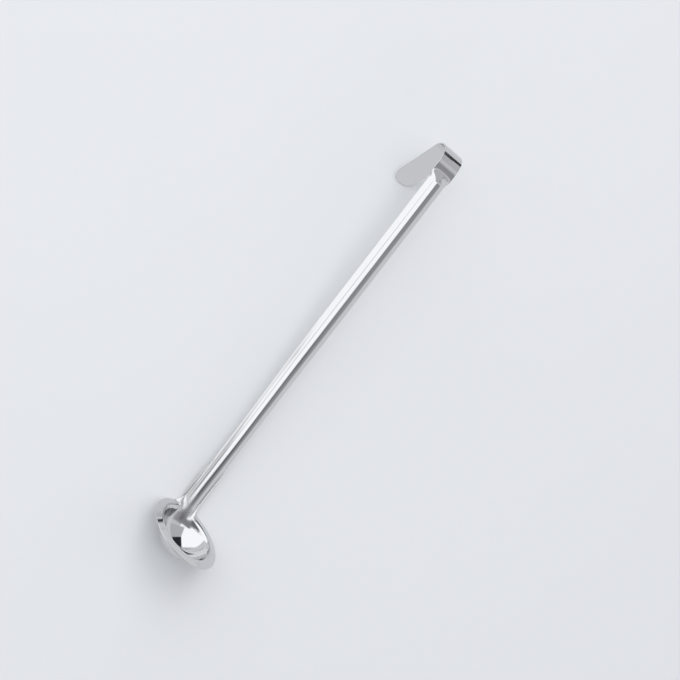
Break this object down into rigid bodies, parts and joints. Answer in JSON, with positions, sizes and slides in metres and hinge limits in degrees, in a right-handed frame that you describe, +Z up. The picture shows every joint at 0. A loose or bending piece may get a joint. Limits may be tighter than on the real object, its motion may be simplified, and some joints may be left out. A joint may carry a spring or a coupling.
{
  "type": "serving ladle",
  "caption": "Pressed stainless steel serving ladle: shallow round bowl with a drooping lip, long arched handle rising from the rim and a flat hook turned back at its end.",
  "frame": {"origin": "bottom centre of the bounding box, on the table that the ladle lies on", "axes": "+Z up from the table, +X from the hook to the bowl along the length, +Y across the handle; the ladle lies on its back and is symmetric about the XZ plane"},
  "size_m": [0.3398, 0.057, 0.0476],
  "materials": {
    "bowl_steel": "mirror polished stainless steel",
    "handle_steel": "mirror polished stainless steel",
    "hook_steel": "polished stainless steel, a little duller"
  },
  "bodies": {
    "root": {"bowl": "bowl_steel", "handle": "handle_steel", "hook": "hook_steel"}
  },
  "joints": []
}
